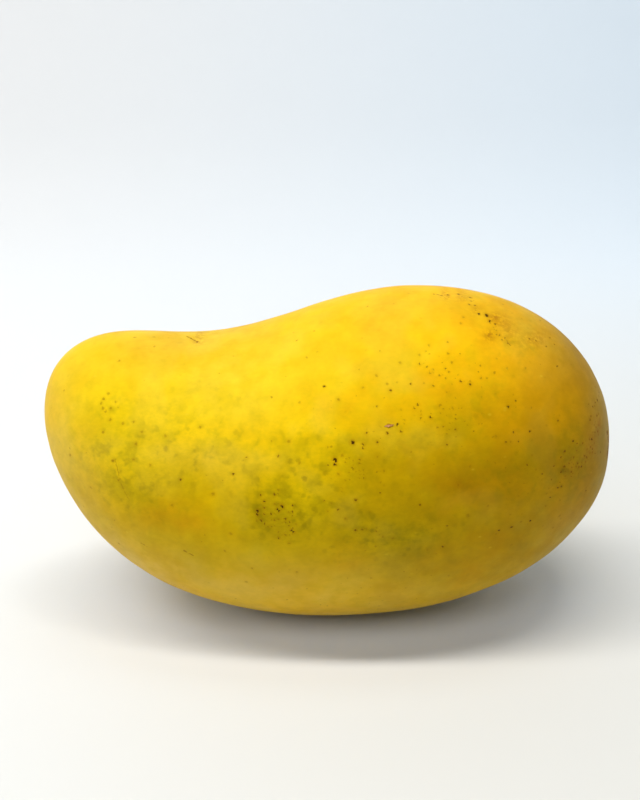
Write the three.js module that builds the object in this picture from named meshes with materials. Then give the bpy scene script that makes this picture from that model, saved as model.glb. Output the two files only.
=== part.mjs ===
// A ripe oblong mango, whole, resting on its rounded belly edge with the hollow of its back on top.
// Millimetres, +Z up. The stem end points to +X, the apex to -X, and the two flattened cheeks face -Y and +Y.
// The origin is the middle of the fruit's box, on the surface that it rests on.

import * as THREE from 'three';

// Driving dimensions
const length = 130;

// Each of these is a distance that changes from the apex (t = -1) to the stem end (t = 1):
// middle + lean t + bow t^2 + swing t^3
const back = { middle: 33.7, lean: 9.1, bow: 11.1, swing: -5.6 }; // long axis up to the hollow back
const belly = { middle: 44.7, lean: -3.2, bow: 1.1, swing: -1.6 }; // long axis down to the belly edge
const cheek = { middle: 32, lean: 1.5, bow: 2, swing: 0 }; // middle plane out to a cheek

const hollow = { depth: 8.8, at: -27.5, reach: 27 }; // the dip in the back, between the beak and the shoulder
const stemDrop = 4.2; // the stem end sits this much below the long axis, and the apex this much above it
const apexSway = 1.5; // how far the apex bends towards the -Y cheek, since no fruit grows quite even
const bellyFullness = 0.07; // share by which the cheeks are thicker towards the belly than towards the back
const flatDepth = 1; // how much of the belly is pressed flat where the fruit rests

// The stem scar: a woody button in a shallow basin, with the broken stalk's pith sunk in its middle
const basin = { depth: 0.7, radius: 7 };
const button = { height: 1.1, topRadius: 2.9, footRadius: 3.9 };
const pith = { depth: 0.6, radius: 1.3 };

// Mesh fineness
const sidesAround = 64;
const ringsAlong = 54;
const ringCrowding = 1.5; // above 1, the rings crowd towards the stem end, where the scar is

const along = (curve, t) => curve.middle + curve.lean * t + curve.bow * t ** 2 + curve.swing * t ** 3;
const bell = (distance, width) => Math.exp(-((distance / width) ** 2));

// How far the skin stands out of the plain end, at a distance from the middle of the stem scar
function scarRelief(distance) {
  const raised = 1 - THREE.MathUtils.smoothstep(distance, button.topRadius, button.footRadius);
  return button.height * raised - basin.depth * bell(distance, basin.radius) - pith.depth * bell(distance, pith.radius);
}

// A point of the skin. fromStem is the angle from the stem end, 0 to pi at the apex, and around is the angle about
// the long axis, from 0 at the back through the +Y cheek to pi at the belly.
function skinPoint(fromStem, around) {
  const t = Math.cos(fromStem);
  const fullness = Math.sin(fromStem);
  const x = (length / 2) * t;
  const up = fullness * (along(back, t) - hollow.depth * bell(x - hollow.at, hollow.reach));
  const down = fullness * along(belly, t);
  const halfThickness = fullness * along(cheek, t);

  const sway = -apexSway * ((1 - t) / 2) ** 2;
  const y = halfThickness * Math.sin(around) * (1 - bellyFullness * Math.cos(around)) + sway;
  const z = (up - down) / 2 + ((up + down) / 2) * Math.cos(around) - stemDrop * t;
  const outward = t > 0 ? scarRelief(Math.hypot(y, z + stemDrop)) : 0;
  return new THREE.Vector3(x + outward, y, Math.max(z, flatDepth - belly.middle));
}

function mangoGeometry() {
  const geometry = new THREE.SphereGeometry(1, sidesAround, ringsAlong);
  geometry.rotateZ(-Math.PI / 2); // the poles go from Y to X, the stem end's to +X
  const points = geometry.attributes.position;
  for (let i = 0; i < points.count; i++) {
    const evenAngle = Math.acos(THREE.MathUtils.clamp(points.getX(i), -1, 1));
    const fromStem = Math.PI * (evenAngle / Math.PI) ** ringCrowding;
    const place = skinPoint(fromStem, Math.atan2(points.getY(i), points.getZ(i)));
    points.setXYZ(i, place.x, place.y, place.z);
  }
  geometry.computeBoundingBox();
  const { min, max } = geometry.boundingBox;
  geometry.translate(-(min.x + max.x) / 2, -(min.y + max.y) / 2, -min.z);
  geometry.computeVertexNormals();
  return geometry;
}

const skin = new THREE.MeshStandardMaterial({ color: '#d8a312', roughness: 0.42, metalness: 0 });
const mango = new THREE.Mesh(mangoGeometry(), skin);
mango.name = 'mango';

const fruit = new THREE.Group();
fruit.add(mango);

export default fruit;
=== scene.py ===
# A ripe oblong mango on a pale paper sweep, lit softly from above.

import math
import bpy
import numpy as np
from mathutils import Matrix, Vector


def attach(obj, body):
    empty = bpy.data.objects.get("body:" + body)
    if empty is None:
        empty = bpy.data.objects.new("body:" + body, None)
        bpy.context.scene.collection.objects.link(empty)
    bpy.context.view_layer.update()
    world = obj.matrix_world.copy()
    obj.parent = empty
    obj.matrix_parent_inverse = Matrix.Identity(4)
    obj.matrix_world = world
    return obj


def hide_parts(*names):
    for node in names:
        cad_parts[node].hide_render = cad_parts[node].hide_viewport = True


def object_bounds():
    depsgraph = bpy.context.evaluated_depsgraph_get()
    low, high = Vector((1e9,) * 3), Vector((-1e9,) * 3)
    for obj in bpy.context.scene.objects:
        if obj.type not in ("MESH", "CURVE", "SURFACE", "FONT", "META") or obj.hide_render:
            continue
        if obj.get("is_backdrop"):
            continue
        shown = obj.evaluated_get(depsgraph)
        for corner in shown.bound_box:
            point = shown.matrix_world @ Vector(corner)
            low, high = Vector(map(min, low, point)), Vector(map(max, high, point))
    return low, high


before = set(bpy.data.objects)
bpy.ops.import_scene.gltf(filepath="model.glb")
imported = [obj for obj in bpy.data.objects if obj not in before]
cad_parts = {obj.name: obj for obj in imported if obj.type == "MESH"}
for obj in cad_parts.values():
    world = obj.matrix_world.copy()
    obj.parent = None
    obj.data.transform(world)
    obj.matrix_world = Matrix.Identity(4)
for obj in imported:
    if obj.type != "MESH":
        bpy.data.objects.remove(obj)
cadLow, cadHigh = (np.array(corner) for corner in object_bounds())
mm = 0.001  # everything below is worked out in millimetres and goes into the meshes in metres
print("frame loaded: the solid measures", np.round((cadHigh - cadLow) / mm, 1), "mm")


# Small tools for numbers

def along(curve, t):  # middle + lean t + bow t^2 + swing t^3
    middle, lean, bow, swing = curve
    return middle + lean * t + bow * t**2 + swing * t**3


def bell(distance, width):  # 1 at no distance, falling as e^-(distance/width)^2
    return np.exp(-((distance / width) ** 2))


def smoothStep(low, high, x):  # 0 below low, 1 above high, and 3s^2 - 2s^3 in between
    s = np.clip((x - low) / (high - low), 0, 1)
    return s * s * (3 - 2 * s)


def waves(points, wavelength, count, seed):
    # The sum of count cosine waves in random directions, scaled so that it mostly stays between -1 and 1
    draw = np.random.default_rng(seed)
    directions = draw.normal(size=(count, 3))
    directions /= np.linalg.norm(directions, axis=1, keepdims=True)
    lengths = wavelength * draw.uniform(0.7, 1.4, count)
    phases = draw.uniform(0, 2 * math.pi, count)
    total = np.cos(points @ (directions * (2 * math.pi / lengths)[:, None]).T + phases)
    return total.sum(-1) / math.sqrt(count * 2)


# Small tools for materials

def addNode(tree, kind, inputs=None, **settings):
    made = tree.nodes.new("ShaderNode" + kind)
    for key, value in settings.items():
        setattr(made, key, value)
    for key, value in (inputs or {}).items():
        if isinstance(value, bpy.types.NodeSocket):
            tree.links.new(value, made.inputs[key])
        else:
            made.inputs[key].default_value = value
    return made


def maths(tree, operation, a, b=0.0, clamp=False):
    return addNode(tree, "Math", {0: a, 1: b}, operation=operation, use_clamp=clamp).outputs[0]


def times(tree, a, b, clamp=False):
    return maths(tree, "MULTIPLY", a, b, clamp)


def plus(tree, a, b, clamp=False):
    return maths(tree, "ADD", a, b, clamp)


def minus(tree, a, b):
    return maths(tree, "SUBTRACT", a, b)


def larger(tree, a, b):
    return maths(tree, "MAXIMUM", a, b)


def vectorMaths(tree, operation, a, b, output="Vector"):
    return addNode(tree, "VectorMath", {0: a, 1: b}, operation=operation).outputs[output]


def mixed(tree, share, a, b, blend="MIX"):  # colour a turned towards colour b by share
    sockets = {"Factor": share, 6: a, 7: b}
    return addNode(tree, "Mix", sockets, data_type="RGBA", blend_type=blend).outputs[2]


def dimmed(tree, colour, level):  # the colour times level, the same in red, green and blue
    levels = addNode(tree, "CombineColor", {0: level, 1: level, 2: level}).outputs[0]
    return mixed(tree, 1.0, colour, levels, "MULTIPLY")


def ranged(tree, value, low, high, start=0.0, end=1.0):  # low to high becomes start to end, smoothly
    sockets = {"Value": value, "From Min": low, "From Max": high, "To Min": start, "To Max": end}
    return addNode(tree, "MapRange", sockets, interpolation_type="SMOOTHSTEP").outputs[0]


def noise(tree, place, size, detail=3.0, roughness=0.55, distortion=0.0):  # size is that of a patch, in mm
    sockets = {"Vector": place, "Scale": 1 / (size * mm), "Detail": detail}
    sockets.update({"Roughness": roughness, "Distortion": distortion})
    return addNode(tree, "TexNoise", sockets).outputs[0]


def attribute(tree, name, output="Fac"):
    return addNode(tree, "Attribute", attribute_name=name).outputs[output]


def newMaterial(name):
    made = bpy.data.materials.new(name)
    made.use_nodes = True
    return made, made.node_tree, made.node_tree.nodes["Principled BSDF"]


# The fruit's form

fruit = {
    "length": (cadHigh[0] - cadLow[0]) / mm - 0.1,  # the solid's, less the button that is flush here
    "back": (33.7, 9.1, 11.1, -5.6),  # long axis up to the hollow back
    "belly": (44.7, -3.2, 1.1, -1.6),  # long axis down to the belly edge
    "cheek": (32.0, 1.5, 2.0, 0.0),  # middle plane out to a cheek
    "hollow": (8.8, -27.5, 27.0),  # depth, place along the fruit, and reach of the dip in the back
    "stemDrop": 4.2,
    "apexSway": 1.5,
    "bellyFullness": 0.07,
    "flatDepth": 1.0,
    "basin": (0.45, 6.0),  # depth and radius
    "button": (0.3, 2.9, 3.9),  # height, and the radii of its top and foot
    "pith": (0.6, 1.3),  # depth and radius
    "rimWaver": ((0.05, 3, 1.0), (0.035, 7, 0.0)),  # share of the radius, waves round it, and their start
    "ridges": (0.07, 5.2, 1.5),  # height, turns of the wave per mm, and how far a ridge strays from a circle
    "rings": 300,
    "sides": 318,
    "ringCrowding": 1.2,  # above 1, the rings crowd towards the stem end
    "swell": (0.16, 34.0, 9, 3, -0.5),  # the slow unevenness: height, wavelength, waves, seed and level
    "ripple": (0.035, 9.0, 24, 4, -1.0),  # the same for the faster one
    "evenEnd": 9.0,  # the unevenness grows from nothing at both poles to its full height this far out
    "fuller": [  # where the fruit bulges or sinks: x, y, z from its middle, reaches along x, y and z, height
        (44.0, -12.0, -22.0, 18.0, 18.0, 16.0, 0.8), (2.0, -16.0, -31.0, 34.0, 14.0, 10.0, 0.5),
        (-34.0, -14.0, -26.0, 16.0, 14.0, 12.0, 0.35), (24.0, -16.0, -32.0, 15.0, 12.0, 9.0, 0.35),
        (58.0, -12.0, 8.0, 10.0, 12.0, 14.0, 0.4), (-56.0, -6.0, 13.0, 10.0, 16.0, 9.0, 0.4),
        (-58.0, -9.0, -11.0, 8.0, 14.0, 8.0, -0.35),
    ],
}


beyondScar = 99.0  # mm, stands for the distance from the scar in the apex half of the fruit


def plainSkin(fromStem, around):
    # As the solid, without its scar: an oval section at each t = cos(fromStem) along the fruit. Its
    # half-heights up and down and its half-thickness are sin(fromStem) times a cubic in t, less the hollow
    # at the top. Its middle lies halfway between its top and bottom, and drops towards the stem end
    t, fullness = np.cos(fromStem), np.sin(fromStem)
    x = fruit["length"] / 2 * t
    depth, at, reach = fruit["hollow"]
    up = fullness * (along(fruit["back"], t) - depth * bell(x - at, reach))
    down = fullness * along(fruit["belly"], t)
    half = fullness * along(fruit["cheek"], t)
    sway = -fruit["apexSway"] * ((1 - t) / 2) ** 2
    y = half * np.sin(around) * (1 - fruit["bellyFullness"] * np.cos(around)) + sway
    z = (up - down) / 2 + (up + down) / 2 * np.cos(around) - fruit["stemDrop"] * t
    return np.stack([x + 0 * y, y, z], -1)


def scarDistance(points):  # distance from the middle of the stem scar, seen along the fruit
    far = np.hypot(points[..., 1], points[..., 2] + fruit["stemDrop"])
    return np.where(points[..., 0] > 0, far, beyondScar)


def scarRelief(points):
    # The button's height inside its rim, less the bells of the basin and the pith. The rim's radius wavers
    # as sines of the turn round the button, and fine ridges run round it
    far = scarDistance(points)
    turn = np.arctan2(points[..., 2] + fruit["stemDrop"], points[..., 1])
    rim = far * (1 + sum(share * np.sin(count * turn + start) for share, count, start in fruit["rimWaver"]))
    height, top, foot = fruit["button"]
    raised = 1 - smoothStep(top, foot, rim)
    ridgeHeight, ridgeTurns, ridgeStray = fruit["ridges"]
    ridges = ridgeHeight * raised * np.sin(rim * ridgeTurns + ridgeStray * np.sin(2 * turn))
    depth, reach = fruit["basin"]
    pithDepth, pithRadius = fruit["pith"]
    return height * raised + ridges - depth * bell(far, reach) - pithDepth * bell(rim, pithRadius)


def outwardNormals(points):  # cross product of the steps along and around the fruit, turned to face out
    stepAlong = np.gradient(points, axis=0)
    stepAround = np.roll(points, -1, 1) - np.roll(points, 1, 1)
    normals = np.cross(stepAround, stepAlong)
    return normals / (np.linalg.norm(normals, axis=-1, keepdims=True) + 1e-12)


def unevenness(points):
    # The slow and the fast waves, each raised to its level, and the bells of the fuller and hollower places
    total = 0
    for height, wavelength, count, seed, level in (fruit["swell"], fruit["ripple"]):
        total = total + height * (waves(points, wavelength, count, seed) + level)
    for x, y, z, reachX, reachY, reachZ, height in fruit["fuller"]:
        offset = (points - np.array([x, y, z])) / np.array([reachX, reachY, reachZ])
        total = total + height * bell(np.linalg.norm(offset, axis=-1), 1.0)
    return total


def mangoGrid():
    # The plain skin, moved along its normals by the unevenness, with the scar, and cut flat where it rests
    share = np.arange(1, fruit["rings"]) / fruit["rings"]
    fromStem = (math.pi * share ** fruit["ringCrowding"])[:, None]
    around = np.linspace(0, 2 * math.pi, fruit["sides"], endpoint=False)[None, :]
    points = plainSkin(fromStem, around)
    fromAxis = np.hypot(points[..., 1], points[..., 2] + fruit["stemDrop"] * np.cos(fromStem))
    lift = unevenness(points) * smoothStep(0, fruit["evenEnd"], fromAxis)
    points = points + outwardNormals(points) * lift[..., None]
    points[..., 0] += scarRelief(points)
    floor = fruit["flatDepth"] - fruit["belly"][0]
    points[..., 2] = np.maximum(points[..., 2], floor)
    return points


def mangoPoles():  # the two closing points, at the stem scar's middle and at the apex
    half = fruit["length"] / 2
    stem = np.array([half, 0.0, -fruit["stemDrop"]])
    stem[0] += scarRelief(stem)
    return stem, np.array([-half, -fruit["apexSway"], fruit["stemDrop"]])


def closedMesh(name, grid, firstPole, lastPole):
    # Rings of quads between two poles, each closed with a fan of triangles
    rings, sides = grid.shape[:2]
    vertices = np.concatenate([grid.reshape(-1, 3), [firstPole, lastPole]]) * mm
    number = np.arange(rings * sides).reshape(rings, sides)
    beside = np.roll(number, -1, 1)
    quads = np.stack([number[:-1], number[1:], beside[1:], beside[:-1]], -1).reshape(-1, 4)
    first = np.stack([np.full(sides, rings * sides), number[0], beside[0]], -1)
    last = np.stack([np.full(sides, rings * sides + 1), beside[-1], number[-1]], -1)
    mesh = bpy.data.meshes.new(name)
    mesh.from_pydata(vertices, [], quads.tolist() + first.tolist() + last.tolist())
    mesh.validate()
    mesh.shade_smooth()
    return mesh


skinGrid = mangoGrid()
stemPole, apexPole = mangoPoles()
gridLow, gridHigh = skinGrid.reshape(-1, 3).min(0), skinGrid.reshape(-1, 3).max(0)
toFrame = (cadLow + cadHigh) / 2 / mm - (gridLow + gridHigh) / 2
toFrame[0] = cadLow[0] / mm + fruit["length"] / 2  # the apex and the lowest point stay the solid's
toFrame[2] = cadLow[2] / mm - gridLow[2]
skinGrid, stemPole, apexPole = skinGrid + toFrame, stemPole + toFrame, apexPole + toFrame
skinPoints = np.concatenate([skinGrid.reshape(-1, 3), [stemPole, apexPole]])
mangoMesh = closedMesh("mangoSkin", skinGrid, stemPole, apexPole)
mango = bpy.data.objects.new("mangoSkin", mangoMesh)
bpy.context.collection.objects.link(mango)
print("skin made:", len(mangoMesh.polygons), "faces")


# Where the skin is brighter and duller (partly its own tone, partly painted light and shade), warmer,
# greener,
# paler (wax bloom and painted sheen), dotted and marked. Places are x and z in mm, on the cheek that side
# names:
# -1 for the front one, at -Y, and 1 for the rear one. A patch is x, z, side, its reaches in x and z, and its
# strength

marks = {
    "toneAndPaintedLight": [  # painted light and shade mixed with the skin's own tone, brightest along the top of the back and dullest at the stem end: above 0 is brighter and below 0 is duller
        (30, 71, -1, 22, 9, 0.24), (-4, 60, -1, 34, 8, 0.16), (-48, 62, -1, 12, 12, 0.03),
        (62, 46, -1, 14, 30, -0.3), (53, 68, -1, 12, 9, -0.2), (45, 44, -1, 20, 12, -0.12),
        (18, 40, -1, 30, 11, -0.16), (46, 29, -1, 16, 10, -0.2), (28, 22, -1, 20, 8, -0.12),
        (-12, 38, -1, 8, 7, -0.15), (-14, 49, -1, 14, 6, 0.1), (-40, 50, -1, 16, 7, 0.1),
        (-53, 31, -1, 12, 9, -0.05), (2, 14, -1, 30, 8, 0.18), (-6, 55, -1, 7, 4, 0.1),
        (-4, 41, -1, 5, 5, 0.2), (-30, 53, -1, 8, 4, 0.08), (38, 64, -1, 6, 4, 0.08),
        (57, 41, -1, 4, 7, 0.04), (39, 72, -1, 8, 4, -0.06), (19, 52, -1, 6, 5, -0.03),
        (9, 50, -1, 5, 5, -0.05), (35, 50, -1, 8, 4, -0.08), (28, 44, -1, 6, 4, -0.07),
        (17, 25, -1, 7, 5, -0.08), (-36, 34, -1, 7, 6, -0.13), (-44, 40, -1, 5, 5, -0.05),
        (-38, 52, -1, 18, 11, 0.08), (-28, 40, -1, 12, 6, -0.04), (24, 29, -1, 22, 9, -0.05),
        (10, 18, -1, 50, 12, -0.05), (-28, 47.5, -1, 11, 5, -0.1), (-57, 35, -1, 6, 7, -0.05),
        (-27, 30, -1, 9, 6, -0.05), (11, 50, -1, 6, 5, -0.08), (20, 61, -1, 6, 4, -0.08),
        (30, 55, -1, 8, 5, -0.07), (40, 48, -1, 8, 5, -0.09), (30, 48, -1, 7, 5, -0.06),
        (1, 49, -1, 4, 4, 0.1), (53, 29, -1, 8, 8, 0.12), (12, 28, -1, 7, 4, -0.07),
        (28, 20, -1, 14, 6, -0.06), (33, 74.5, -1, 8, 4, -0.13), (41, 69, -1, 9, 5, -0.02),
        (12, 12, -1, 14, 6, -0.12), (46, 64, -1, 9, 8, -0.05), (48, 46, -1, 8, 5, -0.05),
        (-44, 38, -1, 7, 6, 0.04), (0, 52, -1, 5, 4, 0.04), (30, 42, -1, 12, 5, 0.03),
        (-45, 51, -1, 6, 5, -0.07), (-17, 45, -1, 5, 5, 0.09), (-12, 12, -1, 14, 6, 0.07),
        (-36, 60, -1, 14, 6, 0.03), (41, 41, -1, 6, 4, 0.03), (-61, 48, -1, 6, 14, 0.04),
        (20, 64, 1, 30, 12, 0.22), (-30, 50, 1, 18, 12, -0.12), (40, 42, 1, 24, 14, -0.18),
        (5, 34, 1, 22, 9, -0.12), (-8, 52, 1, 8, 5, 0.08), (26, 38, 1, 7, 5, -0.1), (-44, 34, 1, 8, 6, 0.08),
        (50, 62, 1, 9, 6, -0.1),
    ],
    "warm": [
        (42, 64, -1, 24, 14, 0.8), (60, 50, -1, 14, 22, 0.55), (40, 42, -1, 24, 14, 0.45),
        (-36, 67, -1, 15, 6, 0.45), (-35, 36, -1, 9, 6, 0.7), (17, 75, -1, 15, 5, 0.45),
        (35, 40, -1, 9, 5, 0.3), (14, 53, -1, 9, 4, 0.12), (50, 63, -1, 8, 8, 0.6), (2, 56, -1, 6, 8, 0.2),
        (44, 24, -1, 7, 5, 0.2), (51, 29, -1, 8, 7, 0.35), (23, 30, -1, 7, 5, 0.25),
        (32, 43, -1, 8, 5, 0.15), (32, 18, -1, 9, 6, 0.35), (22, 61, -1, 7, 5, 0.25),
        (4, 25, -1, 9, 5, 0.25), (2, 60, -1, 12, 4, 0.25), (36, 70, -1, 5, 5, 0.2),
        (30, 44, -1, 30, 14, 0.12), (46, 58, 1, 24, 20, 0.9), (-50, 44, 1, 14, 12, 0.3),
        (0, 26, 1, 14, 7, 0.3), (14, 74, 1, 18, 7, 0.4),
    ],
    "lemon": [
        (-36, 59, -1, 15, 6, 1.0), (-50, 60, -1, 10, 7, 0.3), (-20, 59, -1, 12, 5, 0.8),
        (-1, 65, -1, 11, 5, 0.5), (-45, 50, -1, 10, 6, 0.5), (-28, 30, -1, 11, 6, 0.7),
        (-7, 30, -1, 11, 6, 0.6), (8, 52, 1, 20, 10, 0.6), (26, 68, -1, 8, 8, 0.35),
        (-30, 60, 1, 14, 8, 0.6),
    ],
    "green": [
        (-42, 44, -1, 12, 10, 0.85), (-40, 56, -1, 8, 4, 0.15), (-50, 47, -1, 8, 7, 0.3),
        (-31, 49, -1, 10, 5, 0.4), (-21, 50, -1, 12, 6, 0.45), (-11, 38, -1, 7, 6, 1.25),
        (-5, 41, -1, 7, 6, 0.45), (-1, 49, -1, 10, 8, 0.65), (11, 35, -1, 13, 6, 0.7),
        (11, 55, -1, 7, 3, 0.15), (20, 53, -1, 10, 5, 0.3), (38, 44, -1, 12, 6, 0.35),
        (53, 45, -1, 8, 8, 0.5), (14, 31, -1, 7, 4, 0.65), (27, 53, -1, 9, 5, 0.08),
        (-25, 60, -1, 16, 5, 0.1), (33, 60, -1, 8, 4, 0.3), (48, 69, -1, 7, 5, 0.08),
        (41, 69.5, -1, 6, 2.5, 0.35), (-32, 46, 1, 13, 11, 0.8), (5, 38, 1, 14, 10, 0.7),
        (30, 52, 1, 12, 8, 0.5), (50, 38, 1, 9, 8, 0.5), (-12, 60, 1, 9, 4, 0.3),
    ],
    "bloomAndSheen": [  # paler where the wax is thicker, and painted sheen: pale bands along the fruit's edges stand in for grazing reflection
        (-61, 44, -1, 5, 16, 0.3), (-54, 40, -1, 7, 12, 0.5), (-22, 59, -1, 12, 5, 0.3),
        (-30, 49, -1, 12, 3, 0.3), (-47, 20, -1, 15, 9, 1.7), (-12, 18, -1, 26, 8, 1.0),
        (0, 5, -1, 30, 4, 1.0), (18, 14, -1, 16, 6, 0.4), (46, 14, -1, 10, 6, 0.4), (53, 25, -1, 7, 8, 0.8),
        (-26, 66, 1, 34, 6, 0.6), (12, 76, 1, 26, 4, 0.2), (50, 66, 1, 12, 7, 0.7), (47, 71, -1, 9, 4, 0.15),
        (60, 54, -1, 4, 10, 0.7), (-20, 24, 1, 24, 8, 0.8), (10, 56, 1, 16, 6, 0.5), (61, 46, 1, 4, 12, 0.7),
        (-60, 46, 1, 5, 14, 0.8),
    ],
    "brown": [
        (35.4, 73.6, -1, 1.0, 0.5, 1.0), (37.0, 72.9, -1, 1.5, 0.9, 0.6), (33.9, 71.2, -1, 1.2, 0.8, 1.1),
        (37.9, 71.4, -1, 2.2, 1.2, 0.45), (31.6, 75.0, -1, 1.2, 0.6, 0.5), (25.4, 77.0, -1, 1.1, 0.4, 0.7),
        (29.0, 76.6, -1, 1.6, 0.4, 0.5), (44.6, 69.0, -1, 2.6, 1.2, 0.5), (59.4, 50.3, -1, 1.0, 1.8, 0.6),
        (57.0, 47.5, -1, 1.8, 4.5, 0.4), (52.0, 44.0, -1, 4.0, 4.0, 0.25), (42.0, 69.6, -1, 4.0, 1.2, 0.25),
        (-29.6, 66.5, -1, 1.3, 0.4, 0.7), (27.0, 43.6, -1, 1.8, 1.4, 0.35), (24.0, 68.0, 1, 3.0, 1.6, 0.7),
        (-7.0, 29.0, 1, 2.6, 1.2, 0.6), (57.0, 48.0, 1, 2.4, 6.0, 0.4),
    ],
    "spots": [  # radius and darkness, and the x and z of each spot on the front cheek
        (0.44, 1.0, [
            (-11.1, 39.2), (-10.2, 39.5), (-15.4, 38.3), (-8.0, 34.5), (4.5, 53.1), (0.8, 49.7), (0.9, 49.0),
            (33.9, 74.0), (34.2, 73.1),
        ]),
        (0.3, 0.95, [
            (-14.8, 37.7), (-12.5, 37.9), (-10.5, 32.5), (6.7, 52.8), (32.0, 74.4), (25.7, 77.0),
            (28.4, 76.9), (30.8, 76.4), (13.5, 56.2), (14.3, 55.4), (57.2, 48.1), (52.2, 49.3), (43.0, 33.1),
            (38.8, 32.8), (35.8, 31.9), (20.4, 57.7), (54.7, 42.9),
        ]),
        (0.24, 0.75, [
            (39.2, 51.9), (48.8, 64.1), (-1.2, 62.5), (49.3, 43.4), (41.9, 53.3), (38.6, 59.6),
        ]),
        (0.29, 0.6, [
            (-11.8, 42.5), (-10.9, 42.1), (-13.6, 39.0), (-12.9, 35.2), (-9.1, 37.4), (-8.9, 36.4),
            (-8.1, 35.4), (-8.0, 40.0), (-7.5, 38.6), (-14.5, 36.5), (-13.6, 36.1), (-14.7, 41.7),
            (6.5, 51.8), (9.4, 53.2), (6.0, 49.7), (5.8, 49.0), (4.9, 48.2), (6.0, 47.1), (6.5, 45.9),
            (3.3, 49.9), (-10.9, 49.8), (7.2, 54.8), (11.4, 55.2), (17.6, 60.2), (17.6, 59.2), (23.8, 66.3),
            (22.8, 65.2), (18.7, 67.1), (26.9, 64.1), (28.8, 63.2), (21.3, 63.3), (12.3, 62.8), (16.3, 63.7),
            (25.5, 55.5), (26.1, 57.2), (23.8, 52.6), (31.6, 75.6), (30.2, 75.8), (35.7, 72.6), (37.1, 70.4),
            (37.8, 69.6), (35.7, 70.9), (44.2, 68.9), (46.6, 67.7), (47.8, 68.5), (48.8, 67.5), (43.0, 69.5),
            (58.3, 54.8), (57.5, 54.2), (56.9, 52.9), (59.2, 50.0), (57.5, 49.4), (57.4, 45.9), (53.3, 48.6),
            (54.5, 47.8), (50.2, 47.4), (49.3, 46.7), (53.6, 44.2), (55.7, 43.7), (51.9, 43.5), (52.6, 42.0),
            (49.9, 39.9), (60.1, 43.8), (56.7, 36.3), (38.4, 53.6), (36.4, 51.6), (41.3, 46.4), (44.8, 44.0),
            (48.3, 54.3), (37.3, 58.2), (-29.4, 66.4), (-44.7, 42.2), (-19.9, 46.0), (-17.3, 49.1),
            (-31.0, 43.6), (6.5, 34.9), (5.1, 35.0), (9.4, 34.2), (24.7, 34.9), (24.2, 29.4), (18.3, 40.4),
            (5.6, 41.5), (1.7, 39.3),
        ]),
        (0.36, 0.4, [
            (-48.4, 58.1), (-48.8, 57.1), (-47.6, 55.8), (-46.8, 54.1), (-45.9, 46.4), (-24.2, 41.2),
        ]),
        (0.34, 0.3, [
            (-10.5, 43.3), (-11.8, 40.4), (-10.9, 37.1), (-6.9, 36.2), (-8.4, 31.7), (-6.4, 59.9),
            (2.0, 60.5), (-0.8, 52.1), (-8.9, 52.9), (1.5, 46.8), (2.6, 50.8), (9.6, 50.2), (3.3, 37.2),
            (7.8, 35.1), (11.0, 33.1), (13.2, 32.8), (6.9, 63.2), (11.4, 63.5), (9.6, 64.9), (18.9, 68.8),
            (14.7, 67.6), (25.1, 67.2), (20.4, 65.5), (23.6, 62.1), (22.3, 59.9), (25.3, 59.0), (31.2, 64.1),
            (32.4, 63.9), (37.3, 65.4), (41.1, 64.9), (24.7, 70.7), (20.8, 70.4), (28.6, 74.2), (27.8, 73.3),
            (24.4, 68.8), (-47.0, 59.0), (-48.5, 56.1), (-46.5, 56.6), (-45.7, 57.8), (-44.7, 56.8),
            (-45.5, 64.5), (-38.8, 67.0), (-43.4, 67.2), (-34.9, 52.0), (-27.5, 53.7), (-33.1, 38.0),
            (-54.8, 31.9), (-51.9, 38.8), (-56.4, 44.9), (-20.8, 33.0), (-22.3, 28.7), (-46.7, 24.6),
            (-16.4, 24.6), (-18.2, 20.3), (-7.3, 23.7), (29.2, 36.5), (20.8, 29.2), (28.8, 47.5),
            (-41.7, 54.1), (-44.1, 53.7), (-48.2, 51.5), (-39.5, 52.7), (-41.3, 47.3), (-37.5, 46.0),
            (-41.0, 50.2), (46.4, 36.0), (49.3, 29.3), (50.4, 32.5), (39.3, 27.2), (41.1, 33.4),
            (42.2, 48.0), (34.3, 52.9), (37.7, 51.6), (26.5, 43.8),
        ]),
    ],
    "dotRuns": [  # x, z at one end, x, z at the other, side, spread, count, radius, darkness
        (3.0, 51.0, 6.5, 46.0, -1, 1.4, 8, 0.2, 0.45), (20.0, 64.0, 28.0, 66.0, -1, 3.0, 10, 0.2, 0.4),
        (17.0, 59.0, 26.0, 56.0, -1, 2.4, 12, 0.2, 0.45), (-14.5, 38.5, -8.0, 37.0, -1, 2.2, 12, 0.24, 0.6),
        (-13.0, 40.0, -8.0, 34.5, -1, 2.4, 12, 0.27, 0.75), (58.6, 56.0, 57.6, 44.0, -1, 1.6, 28, 0.3, 0.75),
        (56.0, 46.0, 49.5, 41.0, -1, 2.6, 30, 0.28, 0.6), (31.0, 75.8, 38.0, 69.5, -1, 0.8, 12, 0.22, 0.5),
        (8.0, 35.2, 14.5, 33.0, -1, 0.9, 8, 0.26, 0.4), (12.0, 58.0, 30.0, 54.0, -1, 3.5, 26, 0.17, 0.5),
        (-2.0, 44.0, 12.0, 46.0, -1, 4.0, 22, 0.17, 0.5), (20.0, 68.0, 30.0, 60.0, -1, 4.0, 18, 0.16, 0.5),
        (36.0, 46.0, 50.0, 38.0, -1, 4.0, 20, 0.18, 0.45), (-20.0, 50.0, -12.0, 45.0, 1, 5.0, 28, 0.32, 0.9),
        (10.0, 60.0, 17.0, 52.0, 1, 6.0, 24, 0.26, 0.8), (30.0, 42.0, 44.0, 50.0, 1, 7.0, 30, 0.25, 0.75),
        (-45.0, 45.0, -40.0, 38.0, 1, 2.0, 9, 0.24, 0.6), (57.0, 50.0, 54.0, 40.0, 1, 2.0, 18, 0.26, 0.75),
        (-2.0, 36.0, 6.0, 33.0, 1, 2.4, 12, 0.3, 0.7), (22.0, 70.0, 34.0, 66.0, 1, 3.0, 16, 0.26, 0.7),
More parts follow.
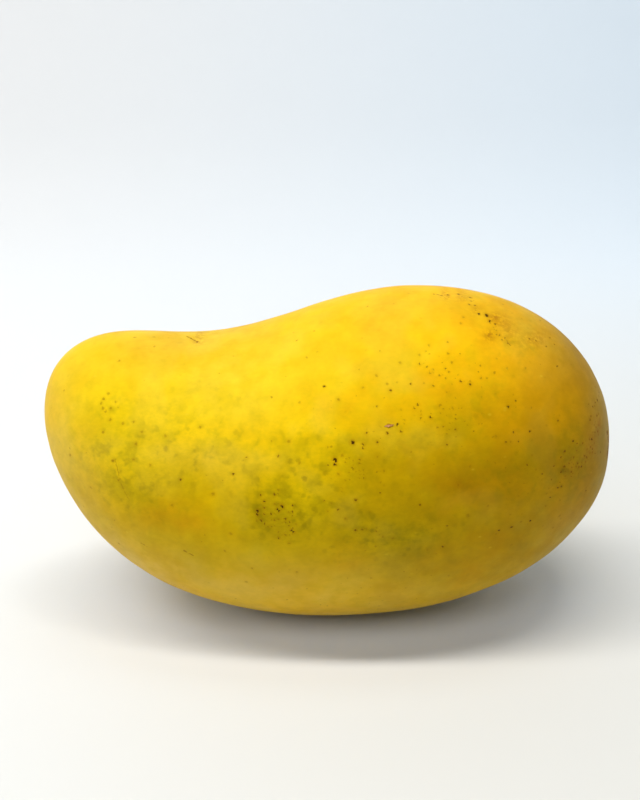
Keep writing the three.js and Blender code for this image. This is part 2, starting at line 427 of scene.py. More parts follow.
        (-34.0, 58.0, -28.0, 62.0, 1, 2.4, 8, 0.26, 0.5),
    ],
    "scuffs": [  # x, z at one end, x, z at the other, side, half width, strength
        (22.8, 77.3, 25.9, 76.9, -1, 0.16, 0.8), (-31.8, 66.9, -29.3, 66.4, -1, 0.2, 0.8),
        (-45.6, 46.8, -44.4, 41.4, -1, 0.16, 0.4), (-44.4, 41.4, -42.8, 38.0, -1, 0.15, 0.35),
        (-31.0, 27.4, -29.0, 26.6, -1, 0.18, 0.6), (-41.0, 27.6, -39.6, 26.8, -1, 0.16, 0.4),
        (37.2, 70.2, 38.3, 69.2, -1, 0.14, 0.7), (62.4, 46.6, 63.1, 43.8, -1, 0.5, 1.2),
        (63.1, 43.8, 62.8, 40.8, -1, 0.5, 1.2), (20.0, 70.0, 27.0, 66.0, 1, 0.22, 0.6),
    ],
    "scab": (11.3, 56.0, 13.1, 56.3, -1, 0.28),  # x, z at each end, side, half width
    "patchThrough": 26.0,  # a patch's reach through the fruit, short enough to keep it on its own cheek
    "spotVariety": ((0.75, 1.15), (0.75, 1.1)),  # lowest and highest share of its kind's radius and darkness
    "runVariety": ((0.55, 1.3), (0.4, 1.1)),
    "runScatter": 0.6,  # how far a run's dots scatter about its line, as a share of its spread
    "spotGap": 0.55,  # spots stay this far apart
    "spotReach": 1.6,  # how far round a spot the skin's faces know of it
}
lenticels = {
    "tries": 5200,
    "radius": (0.1, 0.3, 1.6),  # smallest, largest, and the power that makes small ones more common
    "darkness": (0.12, 0.6, 2.5),  # least, range, and the power that makes faint ones more common
    "drift": (17.0, 16, 11),  # wavelength, waves and seed of the drifts that they lie in
    "driftChance": (0.25, 1.2),  # what is added to the drift, and its greatest value
    "stemward": (-60, 50, 0.12, 0.75),  # x from and to, the chance at the apex, and its rise to the stem end
    "bareBack": (56, 74, 0.75),  # z from and to, and how much of the chance is lost there
    "gap": 1.2,
    "reach": 1.4,
}


def onSkin(x, z, side):  # the skin's point nearest to x and z on that cheek
    far = np.hypot(skinPoints[:, 0] - x, skinPoints[:, 2] - z)
    return skinPoints[np.where(skinPoints[:, 1] * side < 0, np.inf, far).argmin()]


def patchField(patches):
    # The sum over the patches of strength times the bell of the distance from the patch's middle, with x, y
    # and z measured in the patch's reaches
    total = np.zeros(len(skinPoints))
    for x, z, side, reachX, reachZ, strength in patches:
        reach = np.array([reachX, marks["patchThrough"], reachZ])
        total += strength * bell(np.linalg.norm((skinPoints - onSkin(x, z, side)) / reach, axis=1), 1.0)
    return total


def scattered(candidates, radii, darkness, gap):  # drops a dot that is within gap of one kept before it
    kept = []
    for index, place in enumerate(candidates):
        if not kept or np.linalg.norm(candidates[kept] - place, axis=1).min() > gap:
            kept.append(index)
    return candidates[kept], radii[kept], darkness[kept]


def lenticelDots(draw):
    # Random points of the skin. Each is kept with a chance: one that rises towards the stem end, times what
    # the back leaves of it, times the drift
    tries, rings = lenticels["tries"], fruit["rings"] - 1
    area = np.sin(math.pi * np.arange(1, rings + 1) / fruit["rings"])
    ring = draw.choice(rings, tries, p=area / area.sum())
    places = skinGrid[ring, draw.integers(0, fruit["sides"], tries)]
    xFrom, xTo, least, rise = lenticels["stemward"]
    zFrom, zTo, loss = lenticels["bareBack"]
    added, most = lenticels["driftChance"]
    drift = 0.5 + 0.5 * waves(places, *lenticels["drift"])
    chance = least + rise * smoothStep(xFrom, xTo, places[:, 0])
    chance = chance * (1 - loss * smoothStep(zFrom, zTo, places[:, 2])) * (added + np.clip(drift, 0, most))
    places = places[draw.random(tries) < chance]
    smallest, largest, power = lenticels["radius"]
    radii = smallest + (largest - smallest) * draw.random(len(places)) ** power
    faintest, spread, power = lenticels["darkness"]
    darkness = faintest + spread * draw.random(len(places)) ** power
    return scattered(places, radii, darkness, lenticels["gap"])


def spotDots(draw):
    # The single spots, each kind's radius and darkness varied a little, and then each run's dots, drawn
    # between its ends and scattered about that line
    places, radii, darkness = [], [], []
    radiusRange, darkRange = marks["spotVariety"]
    for radius, dark, spots in marks["spots"]:
        places += [onSkin(x, z, -1) for x, z in spots]
        radii.append(radius * draw.uniform(*radiusRange, len(spots)))
        darkness.append(dark * draw.uniform(*darkRange, len(spots)))
    radiusRange, darkRange = marks["runVariety"]
    for x1, z1, x2, z2, side, spread, count, radius, dark in marks["dotRuns"]:
        share = draw.random(count)
        across = draw.normal(0, spread * marks["runScatter"], (count, 2))
        for s, (dx, dz) in zip(share, across):
            places.append(onSkin(x1 + (x2 - x1) * s + dx, z1 + (z2 - z1) * s + dz, side))
        radii.append(radius * draw.uniform(*radiusRange, count))
        darkness.append(dark * draw.uniform(*darkRange, count))
    return scattered(np.array(places), np.concatenate(radii), np.concatenate(darkness), marks["spotGap"])


def setAttribute(name, values, domain="POINT"):
    kind, key = ("FLOAT_VECTOR", "vector") if values.ndim == 2 else ("FLOAT", "value")
    made = mangoMesh.attributes.new(name, kind, domain)
    made.data.foreach_set(key, values.astype(np.float32).ravel())


def nearestDot(name, dots, reach):
    # Stores in each face the place of the dot nearest to its middle, with its radius and darkness, which
    # are 0 where no dot is within reach. A face's values don't blend into its neighbour's, so each dot
    # stays sharp
    places, radii, darkness = dots
    middles = np.empty(3 * len(mangoMesh.polygons), np.float32)
    mangoMesh.polygons.foreach_get("center", middles)
    middles = middles.reshape(-1, 3) / mm
    nearest, distance = np.zeros(len(middles), int), np.full(len(middles), np.inf)
    for index, place in enumerate(places):
        chosen = np.flatnonzero(np.abs(middles - place).max(1) < reach)
        far = np.linalg.norm(middles[chosen] - place, axis=1)
        closer = far < distance[chosen]
        nearest[chosen[closer]], distance[chosen[closer]] = index, far[closer]
    inReach = distance < reach
    setAttribute(name + "Place", places[nearest] * mm, "FACE")
    setAttribute(name + "Radius", np.where(inReach, radii[nearest], 0) * mm, "FACE")
    setAttribute(name + "Dark", np.where(inReach, darkness[nearest], 0), "FACE")
    print(name, "dots:", len(places))


random = np.random.default_rng(2718)
nearestDot("lenticel", lenticelDots(random), lenticels["reach"])
nearestDot("spot", spotDots(random), marks["spotReach"])
# The tone field holds painted light and shade as well as the skin's own tone
for fieldName in ("green", "warm", "toneAndPaintedLight", "brown", "bloomAndSheen", "lemon"):
    setAttribute(fieldName, patchField(marks[fieldName]))
setAttribute("scarRadius", scarDistance(skinPoints - toFrame) * mm)
print("skin marked")


# The skin's finish

look = {
    "yellow": (0.63, 0.368, 0.0005, 1),
    "lemon": (0.65, 0.43, 0.002, 1),
    "orange": (0.63, 0.30, 0.0005, 1),
    "lime": (0.53, 0.37, 0.001, 1),
    "olive": (0.39, 0.275, 0.0008, 1),
    "deepOlive": (0.25, 0.165, 0.0008, 1),
    # the pale of wax bloom, and of the painted sheen along the fruit's edges
    "bloomAndSheen": (0.64, 0.42, 0.06, 1),
    "lenticel": (0.30, 0.135, 0.0005, 1),
    "halo": (0.37, 0.165, 0.0005, 1),
    "faintSpot": (0.27, 0.12, 0.0008, 1),
    "spot": (0.055, 0.019, 0.001, 1),
    "scuff": (0.20, 0.065, 0.001, 1),
    "smear": (0.33, 0.105, 0.0005, 1),
    "fleck": (0.74, 0.52, 0.03, 1),
    "scab": (0.56, 0.25, 0.13, 1),
    "wood": (0.13, 0.07, 0.025, 1),
    "woodPale": (0.30, 0.20, 0.09, 1),
    "scarRim": (0.09, 0.055, 0.006, 1),
    "noises": {  # size in mm, detail, roughness, and the two values that become the start and end of a mask
        "clouds": (13, 3, 0.55, 0.4, 0.62),
        "blotDrifts": (8, 3, 0.55, 0.46, 0.6),
        "bloomAndSheen": (7, 3, 0.55, 0.3, 0.6),
        "haze": (13, 2, 0.55, 0.5, 0.66),
        "fleckDrifts": (5, 2, 0.55, 0.5, 0.62),
        "crumbs": (1.1, 4, 0.7, 0.38, 0.58),
        "scuffBreaks": (0.9, 3, 0.55, 0.35, 0.55),
        "scabBreaks": (0.45, 2, 0.55, 0.38, 0.52),
        "fibres": (0.6, 4, 0.55, 0.35, 0.65),
        "gloss": (5, 4, 0.55, 0.3, 0.7),
    },
    "ragged": (0.5, 0.7),  # size and reach in mm of the noise that roughens the edges of marks
    "cloudShare": 0.45,
    "warmDrift": (10, 1.5),  # size in mm and strength of the noise that moves the orange's edge
    "warmRange": (0.05, 1.15),  # the warmth at which orange starts, and at which it is full
    "coarse": (5.5, 3, 0.55, 0.3),  # the green's two mottlings: size in mm, detail, roughness, distortion
    "fine": (2.2, 2, 0.5, 0.0),
    "coarseShare": 0.68,
    "oliveRange": (0.44, 0.6),
    "deepRange": (0.52, 0.68),
    "greenAll": (0.08, 0.18),  # greenness that patches and blots have where the skin is ripe
    "limeShare": 0.55,
    "oliveShare": 0.7,
    "deepShare": 0.35,
    "blotSize": 2.7,  # mm, from one blot to the next
    "blotEdge": (0.08, 0.34),
    "blotShare": 0.62,
    "bloomAndSheenShare": 0.5,
    "uneven": (9, 3.5, 0.07),  # sizes in mm of the slow and the quick one, and how much brighter it gets
    "grain": (0.85, 4, 0.7),  # size in mm, detail and roughness
    "grainStretch": (0.6, 1.0, 1.0),
    "grainSwing": (0.05, 0.028),  # its strength for each unit of greenness, and everywhere
    "fleckSize": 3.2,
    "lenticelEdge": (0.4, 1.3),  # in radii, where a dot starts to fade, and where it has faded
    "spotEdge": (0.35, 1.2),
    "haloEdge": (0.6, 2.6),
    "haloShare": 0.5,
    "faintShare": 1.7,
    "blackRange": (0.25, 0.8),
    "smearShare": 0.75,
    "scabWidths": (1.5, 0.8),  # of its rim and its middle, in its half width
    "scabRimShare": 0.75,
    "scarWobble": (1.5, 1.4),  # size and strength in mm
    "pithFade": (0.5, 1.6, 0.8, 0.0),  # from and to these mm from the scar's middle, with these shares there
    "corkFade": (3.3, 3.9, 1.0, 0.0),
    "rimFade": (4.6, 6.4, 0.85, 0.0),
    "basinFade": (3.8, 9.0, 0.45, 0.0),
    "roughness": 0.6,
    "roughnessSwing": 0.05,
    "roughnessOfMarks": 0.25,
    "shader": {
        "Specular IOR Level": 0.4,
        "IOR": 1.3,
        "Specular Tint": (1.0, 0.72, 0.1, 1),
        "Sheen Weight": 0.05,
        "Sheen Roughness": 0.3,
        "Sheen Tint": (1.0, 0.88, 0.66, 1),
    },
    "pores": (0.7, 0.012),  # size and depth in mm
    "corkGrain": (0.5, 0.25),  # size and height in mm
    "dotDepth": 0.04,
    "scabHeight": 0.12,
    "scuffDepth": 0.03,
}


def lineGroup():
    # How near a point is to a line between two places: 1 within the half width, falling to 0 just outside
    # it. Where taper is 1, the half width falls to nothing at both ends, as 4s(1-s) for a share s of the
    # way
    tree = bpy.data.node_groups.new("markLine", "ShaderNodeTree")
    for name, kind in (("Point", "Vector"), ("From", "Vector"), ("To", "Vector"), ("Half Width", "Float"),
                       ("Taper", "Float")):
        tree.interface.new_socket(name, in_out="INPUT", socket_type="NodeSocket" + kind)
    tree.interface.new_socket("Mask", in_out="OUTPUT", socket_type="NodeSocketFloat")
    given, result = tree.nodes.new("NodeGroupInput"), tree.nodes.new("NodeGroupOutput")
    point, start, end, width = (given.outputs[name] for name in ("Point", "From", "To", "Half Width"))
    taper = given.outputs["Taper"]
    offset = vectorMaths(tree, "SUBTRACT", point, start)
    run = vectorMaths(tree, "SUBTRACT", end, start)
    runSquared = vectorMaths(tree, "DOT_PRODUCT", run, run, "Value")
    onRun = vectorMaths(tree, "DOT_PRODUCT", offset, run, "Value")
    share = maths(tree, "DIVIDE", onRun, runSquared, clamp=True)
    foot = addNode(tree, "VectorMath", {0: run, "Scale": share}, operation="SCALE").outputs[0]
    far = vectorMaths(tree, "DISTANCE", offset, foot, "Value")
    lens = times(tree, times(tree, share, minus(tree, 1.0, share)), 4.0)
    narrowing = times(tree, minus(tree, 1.0, lens), taper)
    width = times(tree, width, minus(tree, 1.02, narrowing))  # just above 0 at the ends
    mask = ranged(tree, maths(tree, "DIVIDE", far, width), 0.7, 1.3, 1.0, 0.0)
    tree.links.new(mask, result.inputs["Mask"])
    return tree


def lineMask(tree, group, place, start, end, width, taper=0.0):
    made = addNode(tree, "Group", node_tree=group)
    tree.links.new(place, made.inputs["Point"])
    made.inputs["From"].default_value = tuple(start * mm)
    made.inputs["To"].default_value = tuple(end * mm)
    made.inputs["Half Width"].default_value = width * mm
    made.inputs["Taper"].default_value = taper
    return made.outputs["Mask"]


def dotMask(tree, place, name, inner, outer):  # 1 within inner radii of the nearest dot, 0 beyond outer
    far = vectorMaths(tree, "DISTANCE", place, attribute(tree, name + "Place", "Vector"), "Value")
    radius = maths(tree, "MAXIMUM", attribute(tree, name + "Radius"), 1e-6)
    mask = ranged(tree, maths(tree, "DIVIDE", far, radius), inner, outer, 1.0, 0.0)
    return times(tree, mask, attribute(tree, name + "Dark"), clamp=True)


def noiseMask(tree, place, name, start=0.0, end=1.0):  # the noise of that name, ranged from start to end
    size, detail, roughness, low, high = look["noises"][name]
    return ranged(tree, noise(tree, place, size, detail, roughness), low, high, start, end)


def cells(tree, place, size):  # distance from the nearest of many scattered points, in cells of that size
    sockets = {"Vector": place, "Scale": 1 / (size * mm), "Randomness": 1.0}
    return addNode(tree, "TexVoronoi", sockets).outputs["Distance"]


def swayed(tree, place, size, strength):  # a noise about 0, times the strength
    return times(tree, minus(tree, noise(tree, place, size, 3), 0.5), strength)


def groundColour(tree, place):
    # Yellow, lemon in soft clouds and patches, and orange where the warmth is high, with an edge that drifts
    lemon = times(tree, noiseMask(tree, place, "clouds"), look["cloudShare"])
    lemon = plus(tree, lemon, attribute(tree, "lemon"), clamp=True)
    colour = mixed(tree, lemon, look["yellow"], look["lemon"])
    warmth = plus(tree, attribute(tree, "warm"), swayed(tree, place, *look["warmDrift"]))
    return mixed(tree, ranged(tree, warmth, *look["warmRange"]), colour, look["orange"])


def withGreen(tree, place, ragged, colour):
    # Green that is still fading: a lime tint, olive patches where the sum of the two mottlings is high,
    # darker where the fine one is, and faint olive blots about a millimetre wide, in drifts
    green = attribute(tree, "green")
    forPatches, forBlots = look["greenAll"]
    colour = mixed(tree, times(tree, green, look["limeShare"], clamp=True), colour, look["lime"])
    coarse, fine = noise(tree, place, *look["coarse"]), noise(tree, place, *look["fine"])
    coarseShare = look["coarseShare"]
    mottle = plus(tree, times(tree, coarse, coarseShare), times(tree, fine, 1 - coarseShare))
    patches = ranged(tree, mottle, *look["oliveRange"])
    patches = times(tree, patches, plus(tree, green, forPatches), clamp=True)
    colour = mixed(tree, times(tree, patches, look["oliveShare"]), colour, look["olive"])
    deep = times(tree, ranged(tree, fine, *look["deepRange"]), patches)
    colour = mixed(tree, times(tree, deep, look["deepShare"]), colour, look["deepOlive"])
    blot = ranged(tree, cells(tree, ragged, look["blotSize"]), *look["blotEdge"], 1.0, 0.0)
    blot = times(tree, blot, noiseMask(tree, place, "blotDrifts"))
    blot = times(tree, blot, plus(tree, green, forBlots), clamp=True)
    return mixed(tree, times(tree, blot, look["blotShare"]), colour, look["deepOlive"])


def withBloomAndSheen(tree, place, colour):  # pale where the wax is thicker and in a thin haze, and painted sheen along the fruit's edges
    bloomAndSheen = times(tree, attribute(tree, "bloomAndSheen"), noiseMask(tree, place, "bloomAndSheen", 0.5, 1.1))
    bloomAndSheen = plus(tree, bloomAndSheen, noiseMask(tree, place, "haze", 0.0, 0.2))
    return mixed(tree, times(tree, bloomAndSheen, look["bloomAndSheenShare"], clamp=True), colour, look["bloomAndSheen"])


def withToneAndPaintedLight(tree, place, colour):
    # Brighter and duller stretches, partly the skin's own tone and partly painted light and shade, lighter
    # along the top of the back and darker at the stem end, over a slow and a quick unevenness
    slow, quick, swing = look["uneven"]
    uneven = plus(tree, noise(tree, place, slow, 2), noise(tree, place, quick, 2))
    level = plus(tree, attribute(tree, "toneAndPaintedLight"), 1.0)
    return dimmed(tree, colour, plus(tree, level, ranged(tree, uneven, 0.7, 1.3, -swing, swing)))


def withGrain(tree, place, colour):
    # Fine grain, drawn out a little along the fruit and stronger where it is green, and small pale flecks
    stretched = vectorMaths(tree, "MULTIPLY", place, look["grainStretch"])
    forGreen, everywhere = look["grainSwing"]
    swing = plus(tree, times(tree, attribute(tree, "green"), forGreen), everywhere)
    grain = ranged(tree, noise(tree, stretched, *look["grain"]), 0.28, 0.72, -1.2, 0.9)
    colour = dimmed(tree, colour, plus(tree, times(tree, grain, swing), 1.0))
    fleck = ranged(tree, cells(tree, stretched, look["fleckSize"]), 0.03, 0.12, 0.3, 0.0)
    fleck = times(tree, fleck, noiseMask(tree, place, "fleckDrifts"))
    return mixed(tree, fleck, colour, look["fleck"])


def withDots(tree, ragged, colour):
    # Lenticels and spots, each spot in a soft brown halo. A faint spot is brown, and a dark one nearly black
    lenticel = dotMask(tree, ragged, "lenticel", *look["lenticelEdge"])
    spot = dotMask(tree, ragged, "spot", *look["spotEdge"])
    halo = dotMask(tree, ragged, "spot", *look["haloEdge"])
    colour = mixed(tree, times(tree, halo, look["haloShare"]), colour, look["halo"])
    colour = mixed(tree, lenticel, colour, look["lenticel"])
    colour = mixed(tree, times(tree, spot, look["faintShare"], clamp=True), colour, look["faintSpot"])
    return mixed(tree, ranged(tree, spot, *look["blackRange"]), colour, look["spot"]), lenticel, spot


def withScuffs(tree, place, ragged, colour):
    # Brown, corky smears, scuffed lines and the scab, each broken up by a fine noise
    smear = times(tree, noiseMask(tree, place, "crumbs"), attribute(tree, "brown"))
    colour = mixed(tree, times(tree, smear, look["smearShare"], clamp=True), colour, look["smear"])
    group = lineGroup()
    scuffed = 0.0
    for x1, z1, x2, z2, side, width, strength in marks["scuffs"]:
        mask = lineMask(tree, group, ragged, onSkin(x1, z1, side), onSkin(x2, z2, side), width)
        scuffed = larger(tree, scuffed, times(tree, mask, strength))
    scuffed = times(tree, scuffed, noiseMask(tree, place, "scuffBreaks"))
    colour = mixed(tree, scuffed, colour, look["scuff"])
    x1, z1, x2, z2, side, width = marks["scab"]
    ends = onSkin(x1, z1, side), onSkin(x2, z2, side)
    widths = [width * share for share in look["scabWidths"]]
    rim, middle = (lineMask(tree, group, ragged, *ends, each, 1.0) for each in widths)
    colour = mixed(tree, times(tree, rim, look["scabRimShare"]), colour, look["scuff"])
    middle = times(tree, middle, noiseMask(tree, place, "scabBreaks", 0.3, 1.0))
    return mixed(tree, middle, colour, look["scab"]), scuffed, rim


def withScar(tree, place, colour):
    # A corky button with a dark rim and pith, in a basin that is a little darker than the skin. Each fades
    # with the distance from the scar's middle, which a noise makes uneven
    radius = maths(tree, "DIVIDE", attribute(tree, "scarRadius"), mm)
    radius = plus(tree, radius, swayed(tree, place, *look["scarWobble"]))
    cork = ranged(tree, radius, *look["corkFade"])
    corkColour = mixed(tree, noiseMask(tree, place, "fibres"), look["wood"], look["woodPale"])
    corkColour = mixed(tree, ranged(tree, radius, *look["pithFade"]), corkColour, look["spot"])
    colour = mixed(tree, ranged(tree, radius, *look["basinFade"]), colour, look["olive"])
    colour = mixed(tree, ranged(tree, radius, *look["rimFade"]), colour, look["scarRim"])
    return mixed(tree, cork, colour, corkColour), cork


def raggedPlace(tree, place):  # the place, moved by up to half of stray each way by a fine noise
    size, stray = look["ragged"]
    jitter = addNode(tree, "TexNoise", {"Vector": place, "Scale": 1 / (size * mm), "Detail": 2.0})
    jitter = vectorMaths(tree, "SUBTRACT", jitter.outputs["Color"], (0.5, 0.5, 0.5))
    sockets = {0: jitter, 1: (stray * mm,) * 3, 2: place}
    return addNode(tree, "VectorMath", sockets, operation="MULTIPLY_ADD").outputs[0]


def skinMaterial():
    material, tree, shader = newMaterial("ripeMangoSkin")
    place = addNode(tree, "TexCoord").outputs["Object"]
    ragged = raggedPlace(tree, place)
    colour = withGreen(tree, place, ragged, groundColour(tree, place))
    colour = withGrain(tree, place, withToneAndPaintedLight(tree, place, withBloomAndSheen(tree, place, colour)))
    colour, lenticel, spot = withDots(tree, ragged, colour)
    colour, scuffed, scab = withScuffs(tree, place, ragged, colour)
    colour, cork = withScar(tree, place, colour)
    tree.links.new(colour, shader.inputs["Base Color"])

    # Waxy skin, duller on spots, scuffs and cork
    dull = larger(tree, larger(tree, spot, scuffed), larger(tree, cork, scab))
    swing = look["roughnessSwing"]
    roughness = plus(tree, noiseMask(tree, place, "gloss", -swing, swing), look["roughness"])
    roughness = plus(tree, roughness, times(tree, dull, look["roughnessOfMarks"]), clamp=True)
    tree.links.new(roughness, shader.inputs["Roughness"])
    for socket, value in look["shader"].items():
        shader.inputs[socket].default_value = value

    # Pores, sunken dots and scuffs, the raised scab and the cork's grain, in mm
    poreSize, poreDepth = look["pores"]
    corkSize, corkHeight = look["corkGrain"]
    pores = times(tree, noise(tree, place, poreSize, 3, 0.6), poreDepth)
    pits = times(tree, larger(tree, spot, lenticel), -look["dotDepth"])
    raised = times(tree, scab, look["scabHeight"])
    raised = plus(tree, raised, times(tree, scuffed, -look["scuffDepth"]))
    corkGrain = times(tree, times(tree, noise(tree, place, corkSize, 4), cork), corkHeight)
    height = plus(tree, plus(tree, pores, pits), plus(tree, raised, corkGrain))
    bump = addNode(tree, "Bump", {"Strength": 1.0, "Distance": mm, "Height": height})
    tree.links.new(bump.outputs[0], shader.inputs["Normal"])
    return material


mangoMesh.materials.append(skinMaterial())
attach(mango, "root")
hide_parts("mango")
print("skin finished")


# The background: what it sheds on the fruit, and how it looks

world = {"light": (0.15, 0.19, 0.225, 1), "seen": (0.8, 0.84, 0.87, 1)}


# The paper sweep

sweep = {
    "front": -3.0,  # metres, where the floor begins, towards the camera and past it
    "bend": 0.42,  # where the floor starts to rise
    "bendRadius": 0.35,
    "height": 2.6,
    "halfWidth": 3.0,
    "nearLeft": (0.645, 0.63, 0.602, 1),
    "nearRight": (0.645, 0.62, 0.572, 1),
    "farLeft": (0.68, 0.66, 0.64, 1),
    "farRight": (0.64, 0.69, 0.73, 1),
    "farOver": (-0.06, 0.36),  # metres back and up, over which near turns into far
    "farAcross": (-0.35, 0.4),  # metres along X, over which left turns into right
    "nearAcross": (-0.12, 0.06),
    "paintedLightUnder": (0.80, 0.83, 0.88, 1),  # painted light: paler, cooler paper where the fruit stands and its shadow falls
    "paintedLightReach": (0.062, 0.031),  # metres along X and Y
    "paintedLightFade": (0.5, 1.2, 0.7, 0.0),  # from and to these shares of the reach, with these of the colour
    "level": 1.01,
    "shadeToRight": 0.13,  # painted shade: how much dimmer the paper gets to the right, near the camera
    "shadeToRightAcross": (-0.2, 0.3),
    "wallShade": 0.075,  # painted shade: how much dimmer it gets where it rises
    "wallShadeOver": (0.4, 0.66),
    "outer": (0.9, 0.9, 0.9, 1),  # far behind the camera
    "outerOver": (-0.35, -1.2),  # metres along Y
    "roughness": 0.6,
    "specular": 0.2,
    "clearing": (0.5, 1.0),  # metres from the middle, over which the paper fades into the open background
    "clearAbove": 0.35,  # metres, below which height doesn't count towards that distance
    "rows": 160,
    "columns": 8,
}


def sweepPoints(s, across):
    # A profile of length s: flat floor, a quarter circle up, and a wall, carried straight across in X
    floorLength = sweep["bend"] - sweep["front"]
    arcLength = sweep["bendRadius"] * math.pi / 2
    turn = np.clip((s - floorLength) / sweep["bendRadius"], 0, math.pi / 2)
    y = sweep["front"] + np.minimum(s, floorLength) + sweep["bendRadius"] * np.sin(turn)
    z = sweep["bendRadius"] * (1 - np.cos(turn)) + np.maximum(s - floorLength - arcLength, 0)
    return np.stack([across + 0 * y, y + 0 * across, z + 0 * across], -1)


def sweepMaterial():  # paper with painted light and shade: warm near the camera, cooler to the right and where it rises, dimmer to the right and up the wall, paler under the fruit
    material, tree, shader = newMaterial("palePaper")
    place = addNode(tree, "TexCoord").outputs["Object"]
    parts = addNode(tree, "SeparateXYZ", {0: place}).outputs
    backAndUp = plus(tree, parts["Y"], parts["Z"])
    far = ranged(tree, backAndUp, *sweep["farOver"])
    farRight = ranged(tree, parts["X"], *sweep["farAcross"])
    farColour = mixed(tree, farRight, sweep["farLeft"], sweep["farRight"])
    nearRight = ranged(tree, parts["X"], *sweep["nearAcross"])
    nearColour = mixed(tree, nearRight, sweep["nearLeft"], sweep["nearRight"])
    colour = mixed(tree, far, nearColour, farColour)
    # Painted shade: the paper is dimmer to the right near the camera, and where it rises
    paintedShade = times(tree, ranged(tree, parts["X"], *sweep["shadeToRightAcross"]), sweep["shadeToRight"])
    toneAndPaintedLight = minus(tree, sweep["level"], times(tree, paintedShade, minus(tree, 1.0, far)))
    wall = ranged(tree, backAndUp, *sweep["wallShadeOver"])
    toneAndPaintedLight = minus(tree, toneAndPaintedLight, times(tree, wall, sweep["wallShade"]))
    colour = dimmed(tree, colour, toneAndPaintedLight)
    # Painted light: the paper is paler and cooler in an ellipse under the fruit, which lightens its shadow
    reachX, reachY = sweep["paintedLightReach"]
    ellipse = vectorMaths(tree, "MULTIPLY", place, (1 / reachX, 1 / reachY, 1.0))
    paintedLightUnder = ranged(tree, vectorMaths(tree, "LENGTH", ellipse, (0, 0, 0), "Value"), *sweep["paintedLightFade"])
    colour = mixed(tree, paintedLightUnder, colour, sweep["paintedLightUnder"])
    colour = mixed(tree, ranged(tree, parts["Y"], *sweep["outerOver"]), colour, sweep["outer"])

    # Seen from the other sides, the paper fades into the background: to the camera it glows with the
    # background's colour, a painted glow, while for light it stays paper and still lights the fruit. The
    # distance that counts is the length of x, the part of y that is towards the camera, and the height
    side = vectorMaths(tree, "MINIMUM", place, (sweep["halfWidth"], 0, 0))
    side = vectorMaths(tree, "MULTIPLY", side, (1, 1, 0))
    height = vectorMaths(tree, "SUBTRACT", place, (0, 0, sweep["clearAbove"]))
    height = vectorMaths(tree, "MAXIMUM", height, (0, 0, 0))
    height = vectorMaths(tree, "MULTIPLY", height, (0, 0, 1))
    away = vectorMaths(tree, "LENGTH", vectorMaths(tree, "ADD", side, height), (0, 0, 0), "Value")
    seen = addNode(tree, "LightPath").outputs["Is Camera Ray"]
    backgroundGlow = times(tree, ranged(tree, away, *sweep["clearing"]), seen)
    tree.links.new(mixed(tree, backgroundGlow, colour, (0, 0, 0, 1)), shader.inputs["Base Color"])
    tree.links.new(mixed(tree, backgroundGlow, (0, 0, 0, 1), world["seen"]), shader.inputs["Emission Color"])
    shader.inputs["Emission Strength"].default_value = 1.0
    shader.inputs["Roughness"].default_value = sweep["roughness"]
    shader.inputs["Specular IOR Level"].default_value = sweep["specular"]
    return material


def makeSweep():
    total = sweep["bend"] - sweep["front"] + sweep["bendRadius"] * math.pi / 2 + sweep["height"]
    rows, columns = sweep["rows"], sweep["columns"]
    s = np.linspace(0, total, rows)[:, None]
    across = np.linspace(-sweep["halfWidth"], sweep["halfWidth"], columns)[None, :]
    points = sweepPoints(s, across)
    number = np.arange(rows * columns).reshape(rows, columns)
    quads = np.stack([number[:-1, :-1], number[:-1, 1:], number[1:, 1:], number[1:, :-1]], -1).reshape(-1, 4)
    mesh = bpy.data.meshes.new("sweep")
    mesh.from_pydata(points.reshape(-1, 3), [], quads.tolist())
    mesh.shade_smooth()
    mesh.materials.append(sweepMaterial())
    made = bpy.data.objects.new("sweep", mesh)
    bpy.context.collection.objects.link(made)
    made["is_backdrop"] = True


makeSweep()


# Light and camera

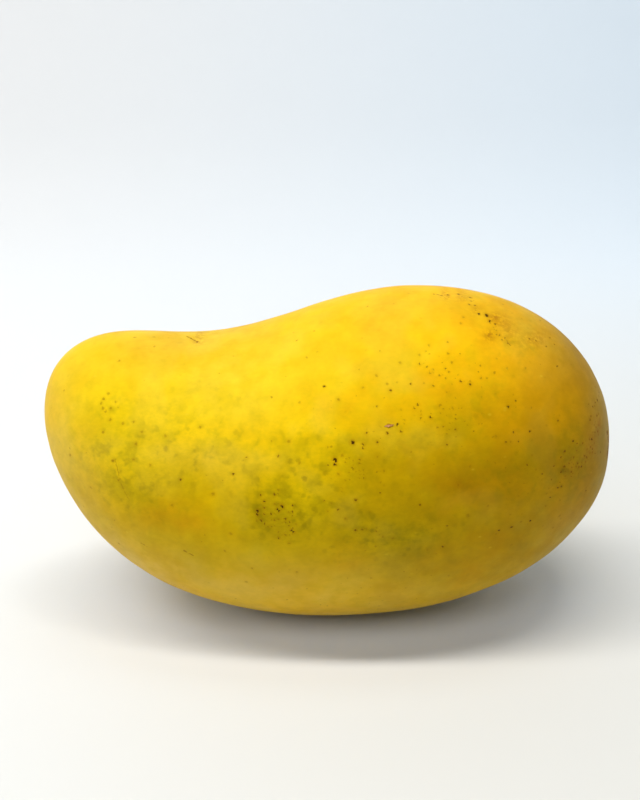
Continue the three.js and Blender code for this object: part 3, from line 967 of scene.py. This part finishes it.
lights = {  # place and what it points at, in metres; width, depth; watts; colour
    "strip": ((-0.47, -0.11, 1.15), (-0.47, -0.05, 0), 1.58, 0.13, 17.0, (1.0, 0.99, 0.96)),
    "left": ((-1.66, -0.1, 0.3), (0, 0, 0.03), 1.3, 1.1, 8.5, (0.84, 0.96, 1.12)),
    "front": ((-0.25, -1.05, 1.3), (0, 0, 0.03), 0.9, 0.9, 8.7, (0.92, 0.97, 1.06)),
    "back": ((0.3, 0.2, 1.3), (0.2, 0.9, 0.1), 1.2, 0.5, 4.0, (0.85, 0.94, 1.0)),
}
eye = {
    "aim": (-2.1, 0.0, 51.1),  # mm
    "elevation": 22.0,
    "distance": 240.0,
    "fieldOfView": 42.0,  # degrees, over the picture's height
}


def addLight(name, place, target, width, depth, watts, colour):
    light = bpy.data.lights.new(name, "AREA")
    light.shape, light.size, light.size_y = "RECTANGLE", width, depth
    light.energy, light.color = watts, colour
    made = bpy.data.objects.new(name, light)
    made.location = place
    made.rotation_euler = (Vector(target) - Vector(place)).to_track_quat("-Z", "Y").to_euler()
    bpy.context.collection.objects.link(made)


for lightName, values in lights.items():
    addLight(lightName, *values)

sky = bpy.data.worlds.new("studio")
sky.use_nodes = True
seenDirectly = addNode(sky.node_tree, "LightPath").outputs["Is Camera Ray"]
skyColour = mixed(sky.node_tree, seenDirectly, world["light"], world["seen"])
sky.node_tree.links.new(skyColour, sky.node_tree.nodes["Background"].inputs["Color"])
bpy.context.scene.world = sky
bpy.context.scene.view_settings.view_transform = "Standard"


def makeCamera():
    lift = math.radians(eye["elevation"])
    aim = Vector(eye["aim"]) * mm
    back = Vector((0, -math.cos(lift), math.sin(lift)))
    data = bpy.data.cameras.new("eye")
    data.angle = math.radians(eye["fieldOfView"])
    data.clip_start, data.clip_end = 0.01, 20
    made = bpy.data.objects.new("eye", data)
    made.location = aim + back * eye["distance"] * mm
    made.rotation_euler = (-back).to_track_quat("-Z", "Y").to_euler()
    bpy.context.collection.objects.link(made)
    bpy.context.scene.camera = made


makeCamera()
print("stage, light and camera set")
